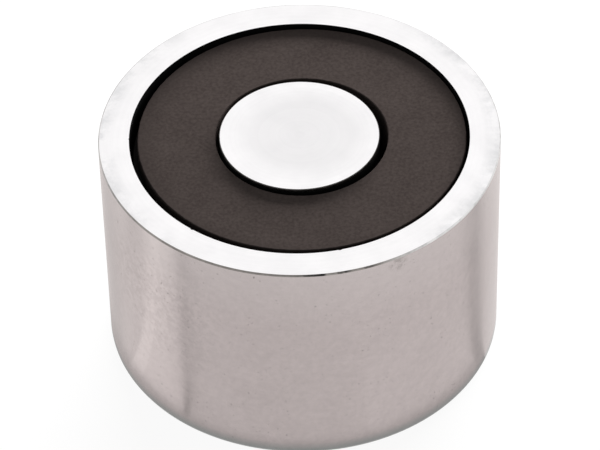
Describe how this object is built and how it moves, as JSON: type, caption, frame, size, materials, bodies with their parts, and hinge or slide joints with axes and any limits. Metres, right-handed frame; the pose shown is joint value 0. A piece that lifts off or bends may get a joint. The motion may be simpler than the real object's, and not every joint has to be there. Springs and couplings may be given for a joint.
{
  "type": "holding electromagnet",
  "caption": "Round pot-type holding electromagnet: steel pot and centre pole with a recessed dark coil ring between, threaded rear fixing and a side bush for its leads.",
  "frame": {"origin": "centre of the flat rear mounting face", "axes": "+Z along the axis from the rear mounting face to the pole face; the lead bush is on the +Y side"},
  "size_m": [0.04, 0.04, 0.025],
  "materials": {
    "pot_steel": "turned and plated side, ground rim",
    "core_iron": "ground and plated pole face",
    "bobbin_plastic": "matt dark brown, fine moulded grain",
    "copper_winding": "enamelled copper",
    "insulating_tape": "thin yellow polyester tape",
    "cast_resin": "black cast resin",
    "pressboard": "matt pressboard",
    "tinned_brass": "tinned",
    "solder": "bright solder",
    "enamelled_wire": "enamelled copper",
    "bush_rubber": "matt black"
  },
  "bodies": {
    "root": {"housing_pot": "pot_steel", "pole_core": "core_iron", "coil_bobbin": "bobbin_plastic", "coil_winding": "copper_winding", "winding_tape": "insulating_tape", "potting_compound": "cast_resin", "seat_disc": "pressboard", "terminal_pin_start": "tinned_brass", "terminal_pin_finish": "tinned_brass", "solder_joint_start": "solder", "solder_joint_finish": "solder", "start_wire": "enamelled_wire", "finish_wire": "enamelled_wire", "lead_bush": "bush_rubber"}
  },
  "joints": []
}
